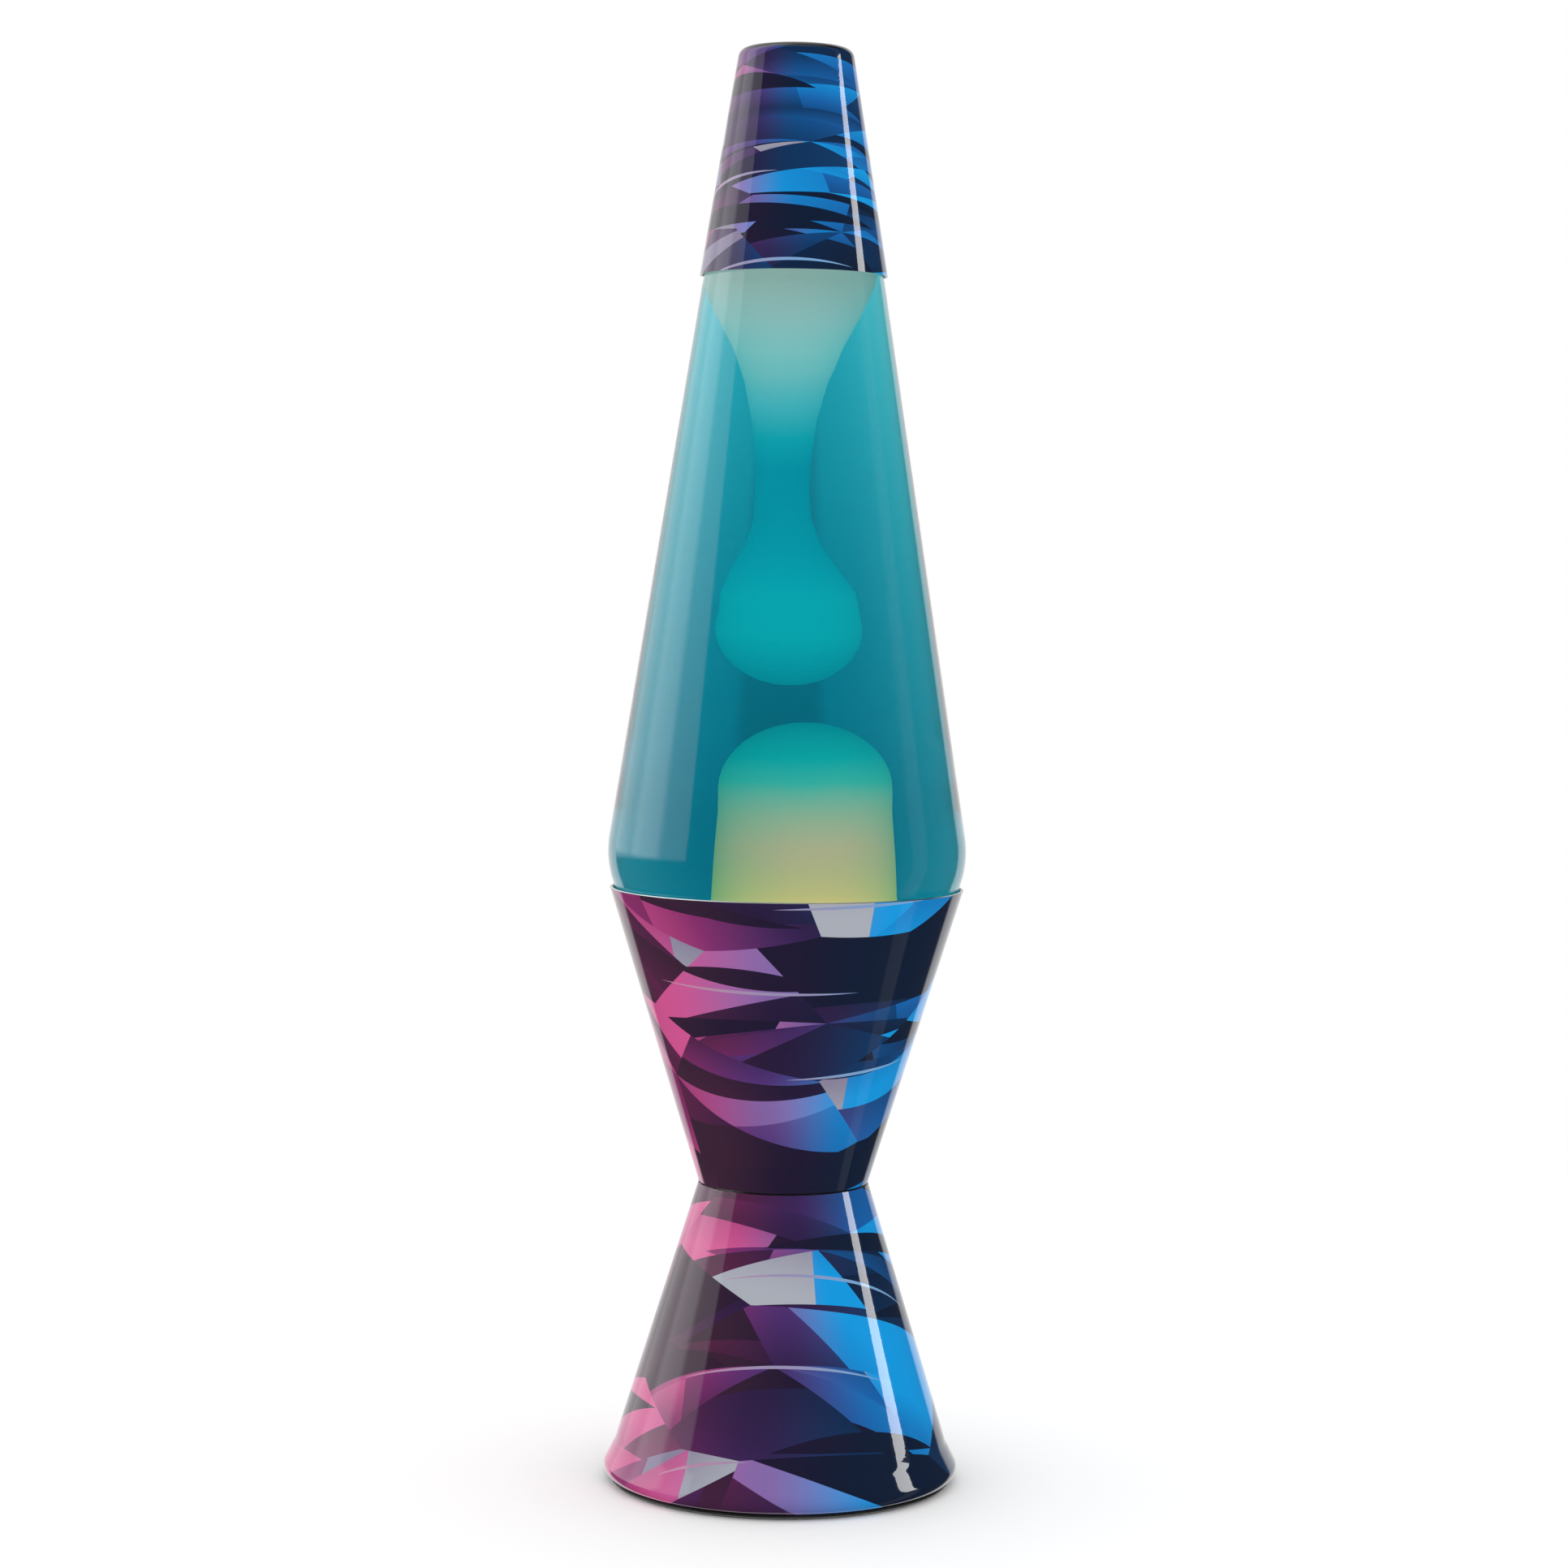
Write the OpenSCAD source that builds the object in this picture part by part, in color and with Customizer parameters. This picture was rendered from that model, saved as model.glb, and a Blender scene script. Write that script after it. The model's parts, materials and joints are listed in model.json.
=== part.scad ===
// Lava lamp: a tapered glass globe of liquid and wax on a printed hourglass base,
// warmed by a screw-in bulb from below, with a loose cap over the bottle's crown cap.
// Millimetres, +Z up, origin on the table under the middle of the base.

/* [Heights] */
// Table to the top of the cap
lamp_h = 368; // [366:0.5:370]
// Table to the lower edge of the cap
cap_z = 310.5; // [309.5:0.5:311.5]
// Table to the rim of the globe cup
rim_z = 154; // [153:0.5:155]
// Table to the narrow waist of the base
waist_z = 78; // [77.5:0.1:78.5]

/* [Radii] */
// Widest radius of the globe's upper cone, where its lower cone begins
belly_r = 46.1; // [45.9:0.1:46.3]
// Outer radius of the cup at its rim
rim_r = 45.5; // [45.4:0.1:45.7]
// Outer radius of both base cones at the waist
waist_r = 22; // [21.9:0.1:22.2]
// Outer radius of the rolled lip round the foot of the base
foot_r = 45.75; // [45.5:0.05:46]
// Outer radius of the cap at its lower edge
cap_r = 24; // [23.9:0.1:24.3]
// Outer radius of the cap where its side would meet the top
cap_top_r = 14.45; // [14.3:0.05:14.6]

/* [Walls] */
// Printed film round the cap and the two cones
film_t = 0.12; // [0.1:0.01:0.15]
// Spun aluminium of the base cones
cone_t = 0.6; // [0.5:0.05:0.6]
// Spun aluminium of the cap
cap_t = 0.45; // [0.4:0.05:0.45]
// Side wall of the globe
glass_t = 2.6; // [2.2:0.1:2.8]

/* [Contents] */
// Table to the surface of the liquid
fill_z = 332; // [328:1:334]
// Sideways offset of the rising wax column
column_x = 3.4; // [2:0.2:4]
// Sideways offset of the hanging wax
hanging_x = -1.2; // [-2:0.2:0]
// Gap between the hanging drop and the column, which the drop can sink through
drop_gap = 9.4; // [9:0.1:10]

/* [Bulb] */
// Diameter of the bulb's envelope
bulb_d = 34.8; // [34:0.1:35]
// Tip contact to the top of the envelope
bulb_h = 58.5; // [57.5:0.5:58.5]
// Pitch of the intermediate screw base
thread_pitch = 2.822; // [2.8:0.001:2.84]

/* [Hidden] */
$fn = 96;
touch = 0.03;             // gap between a film and the metal under it
slip = 0.35;              // gap between pieces that lift apart

// Colours
film_colour = "indigo";
metal_colour = "silver";

// --- Outlines -----------------------------------------------------------------------

// Points along an arc of radius r about c, from angle a to angle b, in n steps.
function arc(c, r, a, b, n = 8) =
    [for (i = [0 : n]) c + r * [cos(a + (b - a) * i / n), sin(a + (b - a) * i / n)]];
function back(points) = [for (i = [len(points) - 1 : -1 : 0]) points[i]];

module turned(points) { rotate_extrude() polygon(points); }
module ring(r_in, r_out, z, h) {
    translate([0, 0, z]) difference() {
        cylinder(h = h, r = r_out);
        translate([0, 0, -1]) cylinder(h = h + 2, r = r_in);
    }
}
module around(n, r, start = 0) {
    for (i = [0 : n - 1]) rotate([0, 0, start + 360 * i / n]) translate([r, 0, 0]) children();
}
module disc(r, z, h) { translate([0, 0, z]) cylinder(h = h, r = r); }

// --- Base cones ---------------------------------------------------------------------

cup_slope = (rim_r - waist_r) / (rim_z - waist_z);
skirt_top_z = waist_z - 0.5;
skirt_slope = 0.31;
lip_r = 2.6;                       // roll at the foot of the base
lip_z = 1.3;                       // underside of that roll
flare_z = 10;                      // the skirt kicks out below this height
film_out = film_t + touch;
metal_in = film_out + cone_t;
hem_in = 41.2;                     // inner edge of the skirt's turned-in hem
throat_r = 19.7;                   // hole through the flanges at the waist
function cup_at(z) = waist_r + (z - waist_z) * cup_slope;
function skirt_at(z) = waist_r + (skirt_top_z - z) * skirt_slope;
lip_c = [foot_r - lip_r, lip_z + lip_r];

// The side of the skirt from the waist down to the lowest point of its lip, moved in by d.
function skirt_side(d) = concat(
    [[skirt_at(skirt_top_z) - d, skirt_top_z], [skirt_at(flare_z) - d, flare_z]],
    arc(lip_c, lip_r - d, 30, -90, 10));

// Spun skirt with a turned-in flange at the waist and a rolled lip at the table.
module lower_cone() {
    color(metal_colour) difference() {
        turned(concat(
            [[throat_r, skirt_top_z]],
            skirt_side(film_out),
            [[hem_in, lip_z + film_out], [hem_in, lip_z + metal_in]],
            back(skirt_side(metal_in)),
            [[skirt_at(skirt_top_z) - metal_in, skirt_top_z - cone_t], [throat_r, skirt_top_z - cone_t]]));
        cord_hole(grommet_r + 0.05);
    }
}
module lower_cone_film() {
    color(film_colour) difference() {
        turned(concat(
            skirt_side(0),
            [[lip_c[0] - 0.5, lip_z], [lip_c[0] - 0.5, lip_z + film_t]],
            back(skirt_side(film_t))));
        cord_hole(grommet_flange_r + 0.3);
    }
}

// Spun cup that the globe stands in, with a flange that sits on the skirt's.
module upper_cone() {
    r_in = metal_in;
    color(metal_colour) turned([
        [throat_r, waist_z], [cup_at(waist_z) - film_out - 0.3, waist_z],
        [cup_at(waist_z + 0.3) - film_out, waist_z + 0.3],
        [cup_at(rim_z) - film_out, rim_z - 0.2], [cup_at(rim_z) - film_out - 0.2, rim_z],
        [cup_at(rim_z) - r_in + 0.15, rim_z], [cup_at(rim_z) - r_in, rim_z - 0.15],
        [cup_at(waist_z + cone_t) - r_in, waist_z + cone_t], [throat_r, waist_z + cone_t]]);
}
module upper_cone_film() {
    color(film_colour) turned([
        [cup_at(waist_z), waist_z], [cup_at(rim_z), rim_z - 0.2],
        [cup_at(rim_z) - film_t, rim_z - 0.2], [cup_at(waist_z) - film_t, waist_z]]);
}

// Rolled steel eyelet that clamps the two flanges together at the waist.
module waist_eyelet() {
    r_in = 18.9;
    wall = 0.6;
    roll = 0.9;
    low = skirt_top_z - cone_t;
    high = waist_z + cone_t;
    color("gray") turned(concat(
        arc([throat_r + 0.5, low - roll], roll - 0.05, 90, -90, 6),
        [[r_in + 0.4, low - 1.8], [r_in, low - 1.2], [r_in, high + 1.2], [r_in + 0.4, high + 1.8]],
        arc([throat_r + 0.5, high + roll], roll - 0.05, 90, -90, 6),
        [[r_in + wall, high + 0.05], [r_in + wall, low - 0.05]]));
}

// --- Underside ----------------------------------------------------------------------

plate_z = 0.4;                     // underside of the bottom cover
plate_top = 2.6;
tab_r = 36.5;                      // pitch circle of the cover's screws
tab_z = 13;                        // underside of the tabs that take them
tab_t = 1.2;
tab_turn = 30;
foot_pitch_r = 34;
foot_pad_r = 4.5;

// Three steel tabs spot-welded inside the skirt, tapped for the cover's screws.
module cover_tabs() {
    tab_w = 11;
    leg = 7;                       // length of the ear that is welded to the wall
    slant = atan(skirt_slope);
    color("darkgray") around(3, 0, tab_turn) difference() {
        intersection() {
            union() {
                translate([tab_r - 5, -tab_w / 2, tab_z]) cube([12, tab_w, tab_t]);
                translate([tab_r, -tab_w / 2, tab_z]) cube([8, tab_w, leg]);
            }
            difference() {
                turned([[0, 8], [skirt_at(8) - metal_in - touch, 8],
                        [skirt_at(30) - metal_in - touch, 30], [0, 30]]);
                turned([[0, tab_z + tab_t], [skirt_at(tab_z + tab_t) - metal_in - 1.4, tab_z + tab_t],
                        [skirt_at(32) - metal_in - 1.4, 32], [0, 32]]);
            }
        }
        translate([tab_r - 1.5, 0, tab_z - 1]) cylinder(h = tab_t + 2, r = 1.3, $fn = 32);
    }
}

// Black moulded plate that closes the base: vents, screw pillars and a wall inside the lip.
module bottom_cover() {
    pillar_top = tab_z - 0.1;
    color("black") difference() {
        union() {
            turned([
                [0, plate_z], [43.6, plate_z], [44.05, plate_z + 0.3], [44.05, lip_z - 0.05],
                [hem_in - 0.4, lip_z - 0.05], [hem_in - 0.4, 6.5], [hem_in - 1.8, 6.5],
                [hem_in - 1.8, plate_top], [0, plate_top]]);
            around(3, tab_r - 1.5, tab_turn) disc(3.2, plate_top - 0.5, pillar_top - plate_top + 0.5);
            for (side = [-1, 1]) translate([side * bracket_foot_x, 0, 0])
                disc(4.2, plate_top - 0.5, pedestal_h + 0.5);
        }
        around(3, tab_r - 1.5, tab_turn) {
            disc(1.7, plate_z - 1, 20);
            disc(3, plate_z - 1, 2.2);
        }
        for (side = [-1, 1]) translate([side * bracket_foot_x, 0, 0]) disc(1.2, 1.4, 10);
        around(4, foot_pitch_r, 45) disc(foot_pad_r + 0.1, plate_z - 1, 1.8);
        vents();
    }
}
// Slots that let cool air in under the bulb.
module vents() {
    slot_w = 2.4;
    for (i = [0 : 23]) if (i % 6 != 0) rotate([0, 0, i * 15]) {
        translate([17, -slot_w / 2, plate_z - 1]) cube([10, slot_w, 5]);
        for (x = [17, 27]) translate([x, 0, plate_z - 1]) cylinder(h = 5, r = slot_w / 2, $fn = 32);
    }
}

// A pan-head screw standing on its head's underside at z = 0, shank upwards.
module screw_up(head_r, head_h, shank_r, shank_h, drive = 1.5) {
    difference() {
        union() {
            turned(concat([[0, -head_h], [head_r * 0.55, -head_h]],
                arc([head_r * 0.55, -head_h * 0.4], head_h * 0.6, -60, 0, 4) ,
                [[head_r, -head_h * 0.3], [head_r, 0], [0, 0]]));
            cylinder(h = shank_h - shank_r, r = shank_r, $fn = 32);
            translate([0, 0, shank_h - shank_r]) cylinder(h = shank_r, r1 = shank_r, r2 = 0.3, $fn = 32);
        }
        for (a = [0, 90]) rotate([0, 0, a])
            translate([-drive, -0.35, -head_h - 1]) cube([2 * drive, 0.7, 1 + head_h * 0.5]);
    }
}
module cover_screws() {
    color("dimgray") around(3, tab_r - 1.5, tab_turn)
        translate([0, 0, plate_z + 1.2]) screw_up(2.7, 1.1, 1.25, 14);
}

// Four soft pads let into the cover. The lamp rests on them.
module rubber_feet() {
    color("dimgray") around(4, foot_pitch_r, 45) turned([
        [0, 0], [foot_pad_r - 0.5, 0], [foot_pad_r, 0.5], [foot_pad_r, 1.15], [0, 1.15]]);
}

// Cord entry: a bushing square to the slanting wall at the back.
cord_z = 17.5;
cord_r = 3.2;                      // bore that the cord passes through
grommet_r = 4.6;
grommet_flange_r = 6.6;
module at_cord() {
    translate([0, skirt_at(cord_z), cord_z]) rotate([-(90 - atan(skirt_slope)), 0, 0]) children();
}
module cord_hole(r) { at_cord() translate([0, 0, -6]) cylinder(h = 12, r = r); }
module skirt_body(d) {
    turned([[0, 4], [skirt_at(4) - d, 4], [skirt_at(34) - d, 34], [0, 34]]);
}
module cord_grommet() {
    color("black") difference() {
        union() {
            difference() {
                at_cord() translate([0, 0, -3]) turned(concat([[0, 0], [grommet_flange_r, 0]],
                    arc([grommet_flange_r - 1.2, 3.9], 1.2, 0, 90, 4), [[0, 5.1]]));
                skirt_body(-0.05 + film_out);
            }
            at_cord() translate([0, 0, -4.5]) cylinder(h = 6, r = grommet_r);
            intersection() {
                at_cord() translate([0, 0, -5.5]) cylinder(h = 8, r = grommet_flange_r - 0.8);
                skirt_body(metal_in + 0.05);
            }
        }
        at_cord() translate([0, 0, -8]) cylinder(h = 16, r = cord_r);
    }
}

// --- Lampholder ---------------------------------------------------------------------

socket_z = 33.6;                   // underside of the lampholder's body
bracket_t = 1.2;
bracket_foot_x = 19;
pedestal_h = 2.4;                  // pads that lift the bracket off the cover
bracket_w = 12;
leg_x = 13;

// Pressed steel strap that stands on the cover and carries the lampholder.
module socket_bracket() {
    foot_z = plate_top + pedestal_h;
    top_z = socket_z - bracket_t;
    color("silver") difference() {
        union() {
            translate([-leg_x, -bracket_w / 2, top_z]) cube([2 * leg_x, bracket_w, bracket_t]);
            for (side = [0, 1]) mirror([side, 0, 0]) {
                translate([leg_x - bracket_t, -bracket_w / 2, foot_z])
                    cube([bracket_t, bracket_w, socket_z - foot_z]);
                translate([leg_x - bracket_t, -bracket_w / 2, foot_z])
                    cube([bracket_foot_x + 4.5 - leg_x + bracket_t, bracket_w, bracket_t]);
            }
        }
        for (side = [-1, 1]) translate([side * bracket_foot_x, 0, foot_z - 1])
            cylinder(h = bracket_t + 2, r = 1.7, $fn = 32);
        for (side = [-1, 1]) translate([side * socket_screw_x, 0, top_z - 1])
            cylinder(h = bracket_t + 2, r = 1.6, $fn = 32);
        disc(rivet_head_r + 0.6, top_z - 1, bracket_t + 2);
    }
}
module bracket_screws() {
    color("dimgray") for (side = [-1, 1])
        translate([side * bracket_foot_x, 0, plate_top + pedestal_h + bracket_t])
            mirror([0, 0, 1]) screw_up(2.6, 1.3, 1.15, 4.2);
}

shell_in_z = socket_z + 3;         // floor of the lampholder's well
holder_top = shell_in_z + 17;
socket_screw_x = 6.5;
terminal_z = socket_z + 6;

// Phenolic lampholder: a stepped cylinder with a well for the threaded shell.
module socket_body() {
    color("saddlebrown") difference() {
        turned([
            [0, socket_z], [12.6, socket_z], [13, socket_z + 0.4], [13, socket_z + 8],
            [12, socket_z + 9], [12, holder_top - 0.6], [11.4, holder_top],
            [shell_r + 0.1, holder_top], [shell_r + 0.1, shell_in_z], [0, shell_in_z]]);
        for (side = [-1, 1]) {
            translate([side * socket_screw_x, 0, socket_z - 1]) cylinder(h = 3.2, r = 1.3, $fn = 32);
            translate([0, side * 10.2, terminal_z]) rotate([-90 * side, 0, 0]) {
                cylinder(h = 4, r = 3.4, $fn = 48);
                translate([0, 0, -1]) cylinder(h = 2, r = 1.15, $fn = 32);
            }
        }
        translate([0, 0, socket_z - 1]) cylinder(h = 6, r = 1.3, $fn = 32);
    }
}
module socket_screws() {
    color("dimgray") for (side = [-1, 1])
        translate([side * socket_screw_x, 0, socket_z - bracket_t]) screw_up(2.4, 1.1, 1.2, 3.1);
}
module terminal_screws() {
    color("gold") for (side = [-1, 1]) translate([0, side * 11.8, terminal_z])
        rotate([90 * side, 0, 0]) screw_up(2.9, 1.2, 1.05, 2.4, 2.2);
}

// Screw thread of rounded section, right-handed, in step with height: a round outline whose
// centre circles the axis once a pitch, so that two threads in one pitch mesh at any height.
thread_r = 7.95;                   // mean radius of the bulb's thread
thread_e = 0.32;                   // half its depth
thread_gap = 0.3;                  // extra radius of the lampholder's thread
turn_steps = 12;
thread_sides = 24;
module thread(z, h, r) {
    steps = round(turn_steps * h / thread_pitch);
    rings = [for (i = [0 : steps]) let (up = z + h * i / steps, turn = 360 * up / thread_pitch)
        [for (k = [0 : thread_sides - 1]) let (a = 360 * k / thread_sides)
            [thread_e * cos(turn) + r * cos(a), thread_e * sin(turn) + r * sin(a), up]]];
    tube(rings);
}
// Solid skin over a stack of closed rings that have the same number of points.
module tube(rings) {
    n = len(rings[0]);
    last = len(rings) - 1;
    sides = [for (i = [0 : last - 1], k = [0 : n - 1]) let (
        a = i * n + k, b = i * n + (k + 1) % n, c = b + n, d = a + n) each [[a, c, b], [a, d, c]]];
    ends = [[for (k = [0 : n - 1]) k], [for (k = [0 : n - 1]) last * n + n - 1 - k]];
    polyhedron([for (ring = rings) each ring], concat(sides, ends));
}
shell_r = 9.1;
// Threaded brass shell in the lampholder's well.
module socket_shell() {
    color("goldenrod") difference() {
        disc(shell_r, shell_in_z + 3, 12);
        thread(shell_in_z + 2.5, 13, thread_r + thread_gap);
    }
}

// Sprung leaf under the bulb's tip, and the rivet that holds it.
contact_z = shell_in_z + 0.1;
rivet_head_r = 2;
bulb_z = contact_z + 1.6;          // tip of the bulb when it is screwed home
module centre_contact() {
    leaf = 0.4;
    color("gold") difference() {
        union() {
            disc(3, contact_z, leaf);
            translate([0, -2, contact_z]) cube([6.4, 4, leaf]);
            translate([5.9, -2, contact_z]) cube([0.5, 4, 1.4]);
            translate([-3.2, -2, contact_z + 1]) cube([9.6, 4, leaf]);
        }
        translate([0, 0, contact_z - 1]) cylinder(h = leaf + 1.3, r = 1.25, $fn = 32);
    }
}
module contact_rivet() {
    color("gold") {
        disc(1.2, socket_z - 0.1, 3 + 0.7);
        disc(rivet_head_r, contact_z + 0.43, 0.35);
        disc(rivet_head_r, socket_z - 0.6, 0.55);
    }
}

// --- Bulb ---------------------------------------------------------------------------

base_h = 19;                       // tip to the top of the threaded shell
shell_z = bulb_z + 4.5;            // lower edge of the threaded shell
shell_top = bulb_z + base_h;
neck_r = 7.1;
ball_r = bulb_d / 2;
ball_z = bulb_z + bulb_h - ball_r;
glass_wall = 0.7;

module bulb_contact() {
    color("silver") turned(concat([[0, bulb_z]], arc([1.2, bulb_z + 0.7], 0.7, -90, 0, 4),
        [[2.6, bulb_z + 0.9], [2.6, bulb_z + 1.2], [0, bulb_z + 1.2]]));
}
module bulb_insulator() {
    color("black") turned([
        [0, bulb_z + 1.25], [3, bulb_z + 1.25], [6.3, shell_z - 1.2], [6.9, shell_z - 0.05],
        [0, shell_z - 0.05]]);
}
// Threaded cap of the bulb, drawn in round the insulator and plain above the thread.
module bulb_shell() {
    thread_top = shell_z + 9.4;        // above the mouth of the lampholder's shell
    color("silver") {
        difference() {
            thread(shell_z, thread_top - shell_z, thread_r);
            disc(thread_r - thread_e - 0.4, shell_z - 1, thread_top - shell_z + 2);
        }
        ring(7.4, thread_r + thread_e, thread_top - 0.2, shell_top - thread_top + 0.2);
    }
}
function bulb_side(d) = concat(
    [[neck_r - d, shell_z + 1 + d], [neck_r - d, shell_top + 0.5]],
    [for (i = [1 : 6]) let (t = i / 7) [
        neck_r - d + (ball_r * cos(35) - neck_r) * (3 * t * t - 2 * t * t * t),
        shell_top + 0.5 + (ball_z - ball_r * sin(35) - shell_top - 0.5) * t]],
    arc([0, ball_z], ball_r - d, -35, 90, 14));
module bulb_glass() {
    color("white", 0.3) difference() {
        turned(concat([[0, shell_z + 1]], bulb_side(0)));
        turned(concat([[0, shell_z + 1 + glass_wall]], bulb_side(glass_wall)));
    }
}
stem_top = shell_top + 12;
stem_foot = shell_z + 1 + glass_wall + 0.05;
// Glass mount that the wires are pinched in.
module bulb_stem() {
    color("white", 0.5) turned([
        [0, stem_foot], [4.6, stem_foot], [4.4, stem_foot + 2], [2.2, stem_foot + 6],
        [1.9, stem_top - 2], [1.2, stem_top - 0.4], [0, stem_top]]);
}
wire_r = 0.22;
wire_x = 7;
filament_z = ball_z - 4;
module rod(a, b, r) {
    d = b - a;
    length = norm(d);
    translate(a) rotate([0, acos(d[2] / length), atan2(d[1], d[0])])
        cylinder(h = length, r = r, $fn = 16);
}
module bulb_wires() {
    color("silver") for (side = [-1, 1]) {
        rod([side * 2.35, 0, stem_top - 4], [side * wire_x, 0, filament_z + 1], wire_r);
        rod([0, side * 2.35, stem_top - 4], [0, side * 5, filament_z - 0.6], wire_r * 0.7);
    }
}
// Coiled tungsten thread hung in an arch between the two lead wires.
module bulb_filament() {
    turns = 26;
    steps = 8;
    coil_r = 0.45;
    arch = 1.5;
    span = 2 * (wire_x - 0.8);
    path = [for (i = [0 : turns * steps]) let (t = i / (turns * steps), a = 360 * i / steps)
        [-span / 2 + span * t, coil_r * cos(a) - arch * sin(180 * t),
         filament_z + coil_r * sin(a) + arch * sin(180 * t)]];
    color("dimgray") wire(path, [for (p = path) [1, 0, 0]], 0.12, 4);
}
// A wire of n sides along a path, whose sides face the way that axes says at each point.
module wire(path, axes, r, n) {
    last = len(path) - 1;
    tube([for (i = [0 : last]) let (
        d = path[min(i + 1, last)] - path[max(i - 1, 0)],
        across = cross(axes[i], d),
        u = across / norm(across),
        v = cross(d / norm(d), u))
        [for (k = [0 : n - 1]) path[i] + r * (u * cos(360 * k / n) + v * sin(360 * k / n))]]);
}

// --- Globe --------------------------------------------------------------------------

globe_bottom = 108;
cone_slope = 0.1594;               // taper of the globe above its belly
cone_top = 338;                    // where the shoulder turns in to the neck
belly_fillet = 26;
heel_r = 5;
inner_heel_r = 4;
seat = metal_in + slip / cos(atan(cup_slope)) + 0.02;
finish_z = 355;                    // sealing surface of the bottle's mouth
mouth_r = 7.8;
neck_in_r = 8.4;
crown_bead_r = 13.1;

upper_k = norm([1, cone_slope]);
lower_k = norm([1, cup_slope]);
// Centre of the fillet that joins the upper cone, anchored at its widest, to the seat cone.
top_anchor = [belly_r + 0.33 + cone_slope * -4.1, 167.4];
seat_anchor = [cup_at(rim_z) - seat, rim_z];
fillet_z = (top_anchor[0] + cone_slope * top_anchor[1] - seat_anchor[0] + cup_slope * seat_anchor[1]
    - belly_fillet * (upper_k - lower_k)) / (cone_slope + cup_slope);
fillet_c = [top_anchor[0] - cone_slope * (fillet_z - top_anchor[1]) - belly_fillet * upper_k, fillet_z];
function globe_at(z) = top_anchor[0] - cone_slope * (z - top_anchor[1]);
function seat_at(z) = seat_anchor[0] + (z - rim_z) * cup_slope;

// The side of the globe from its heel to its shoulder, moved in by d.
function globe_side(d) = concat(
    arc([seat_at(globe_bottom + heel_r) - heel_r * lower_k, globe_bottom + heel_r], heel_r - d,
        -90, -atan(cup_slope), 6),
    arc(fillet_c, belly_fillet - d, -atan(cup_slope), atan(cone_slope), 10),
    [[globe_at(cone_top) - d, cone_top]]);

module globe_glass() {
    shoulder_z = cone_top + 5.5;
    color("lightblue", 0.3) turned(concat(
        [[0, globe_bottom + 2.2], [14, globe_bottom + 1.6], [21, globe_bottom]],
        globe_side(0),
        [[globe_at(cone_top) - 1.6, cone_top + 3], [14, shoulder_z], [12.4, shoulder_z + 2],
         [12.4, 347.5], [crown_bead_r, 348.5], [crown_bead_r, 350.5], [12.5, 351.5],
         [12.5, 352.5], [crown_bead_r, 353], [crown_bead_r, 353.8]],
        arc([crown_bead_r - 1.2, finish_z - 1.2], 1.2, 0, 90, 4),
        [[mouth_r + 0.6, finish_z], [mouth_r, finish_z - 0.6], [mouth_r, 350], [neck_in_r, shoulder_z],
         [globe_at(cone_top) - glass_t - 1.2, cone_top + 1.5]],
        back(globe_side_inner(glass_t)),
        [[16, inner_floor], [0, inner_floor + 1]]));
}
inner_floor = globe_bottom + 5;
// The same side inside the glass, with its own heel on a thicker floor.
function globe_side_inner(d) = concat(
    arc([seat_at(inner_floor + inner_heel_r) - (d + inner_heel_r) * lower_k, inner_floor + inner_heel_r],
        inner_heel_r, -90, -atan(cup_slope), 5),
    arc(fillet_c, belly_fillet - d, -atan(cup_slope), atan(cone_slope), 10),
    [[globe_at(cone_top) - d * upper_k, cone_top]]);

// Wax that has not risen: a pool over the floor of the globe and a domed column out of it.
column_top = 195.3;
pool_z = inner_floor + 8;
function column_side(g) = concat(
    [[0, pool_z - 2], [26.4 + g, pool_z - 2], [25.8 + g, pool_z + 0.6], [23 + g, pool_z + 3],
     [20.8 + g, pool_z + 8], [19.2 + g, pool_z + 17], [18.2 + g, 151], [16.9 + g, 172]],
    [for (i = [1 : 8]) let (a = 90 * i / 8) [(16.9 + g) * cos(a), 178 + (column_top + g - 178) * sin(a)]]);
function pool_side(g) = concat(
    [[0, inner_floor + 1.2 - g], [16, inner_floor + 0.2 - g]],
    [for (p = globe_side_inner(glass_t)) if (p[1] < pool_z) [p[0] - 0.14 + g, max(p[1], inner_floor + 0.2 - g)]],
    [[seat_at(pool_z) - glass_t * lower_k - 0.14 + g, pool_z + g], [0, pool_z + g]]);
module wax_shape_column(g) {
    turned(pool_side(g));
    translate([column_x, 0, 0]) turned(column_side(g));
}
module wax_column() {
    color("khaki") difference() {
        wax_shape_column(0);
        coil_groove();
    }
}

// Hanging wax: a mass under the surface that narrows to a neck, and the drop below it.
neck_z = 254;                      // narrowest place, where the drop parts from the mass
neck_wax_r = 5.2;
drop_low = column_top + drop_gap;
function mass_side(g) = [
    [0, neck_z], [neck_wax_r + g, neck_z], [neck_wax_r + 0.2 + g, 262], [6.2 + g, 272], [8 + g, 282],
    [10.6 + g, 291], [13.8 + g, 299], [16.4 + g, 307], [17.4 + g, 315], [16.8 + g, 322],
    [15.4 + g, fill_z - 3 + g], [0, fill_z - 3 + g]];
function drop_side(g) = concat(
    [[0, neck_z + (g > 0 ? 0.5 : 0)], [neck_wax_r + g, neck_z + (g > 0 ? 0.5 : 0)], [5.6 + g, 247], [7.4 + g, 240.5],
     [10.4 + g, 234.5], [13 + g, 228.5]],
    arc([0, drop_low + 14.2], 14.2 + g, 15, -90, 9));
module wax_hanging() { color("mediumaquamarine") translate([hanging_x, 0, 0]) turned(mass_side(0)); }
module wax_drop() { color("lightseagreen") translate([hanging_x, 0, 0]) turned(drop_side(0)); }

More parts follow.
